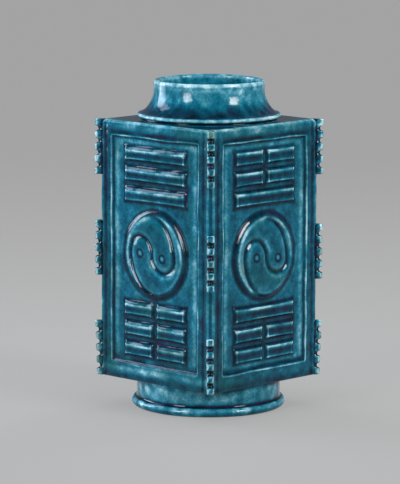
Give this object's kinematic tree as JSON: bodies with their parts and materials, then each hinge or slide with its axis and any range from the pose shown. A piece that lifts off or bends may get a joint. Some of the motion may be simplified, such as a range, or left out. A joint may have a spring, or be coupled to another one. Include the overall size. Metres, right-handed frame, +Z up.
{
  "type": "square vase",
  "caption": "Square slab-built porcelain vase with notched corner flanges, trigram lines and roundels in relief on sunk panels, a round flared neck and a round foot, under blue glaze.",
  "frame": {"origin": "centre of the foot, on the surface that the vase stands on", "axes": "+Z up along the vase's axis; the four faces look along -Y (front), +X (right), +Y (back) and -X (left)"},
  "size_m": [0.1404, 0.1404, 0.2799],
  "materials": {
    "body_glaze": "glossy turquoise blue glaze over porcelain, pooled dark in the hollows, finely crackled",
    "relief_glaze": "the same glaze, thin and pale on raised edges",
    "flange_glaze": "the same glaze, pale on the lobes and dark in the notches"
  },
  "bodies": {
    "root": {"foot_ring": "body_glaze", "base_slab": "body_glaze", "shoulder_slab": "body_glaze", "neck": "body_glaze", "front_wall": "body_glaze", "right_wall": "body_glaze", "back_wall": "body_glaze", "left_wall": "body_glaze", "front_roundel": "relief_glaze", "right_roundel": "relief_glaze", "back_roundel": "relief_glaze", "left_roundel": "relief_glaze", "front_right_lower_flange": "flange_glaze", "front_right_middle_flange": "flange_glaze", "front_right_upper_flange": "flange_glaze", "back_right_lower_flange": "flange_glaze", "back_right_middle_flange": "flange_glaze", "back_right_upper_flange": "flange_glaze", "back_left_lower_flange": "flange_glaze", "back_left_middle_flange": "flange_glaze", "back_left_upper_flange": "flange_glaze", "front_left_lower_flange": "flange_glaze", "front_left_middle_flange": "flange_glaze", "front_left_upper_flange": "flange_glaze", "heaven_line_1": "relief_glaze", "heaven_line_2": "relief_glaze", "heaven_line_3": "relief_glaze", "earth_line_1_left": "relief_glaze", "earth_line_1_right": "relief_glaze", "earth_line_2_left": "relief_glaze", "earth_line_2_right": "relief_glaze", "earth_line_3_left": "relief_glaze", "earth_line_3_right": "relief_glaze", "thunder_line_1_left": "relief_glaze", "thunder_line_1_right": "relief_glaze", "thunder_line_2_left": "relief_glaze", "thunder_line_2_right": "relief_glaze", "thunder_line_3": "relief_glaze", "mountain_line_1": "relief_glaze", "mountain_line_2_left": "relief_glaze", "mountain_line_2_right": "relief_glaze", "mountain_line_3_left": "relief_glaze", "mountain_line_3_right": "relief_glaze", "water_line_1_left": "relief_glaze", "water_line_1_right": "relief_glaze", "water_line_2": "relief_glaze", "water_line_3_left": "relief_glaze", "water_line_3_right": "relief_glaze", "fire_line_1": "relief_glaze", "fire_line_2_left": "relief_glaze", "fire_line_2_right": "relief_glaze", "fire_line_3": "relief_glaze", "wind_line_1": "relief_glaze", "wind_line_2": "relief_glaze", "wind_line_3_left": "relief_glaze", "wind_line_3_right": "relief_glaze", "lake_line_1_left": "relief_glaze", "lake_line_1_right": "relief_glaze", "lake_line_2": "relief_glaze", "lake_line_3": "relief_glaze"}
  },
  "joints": []
}
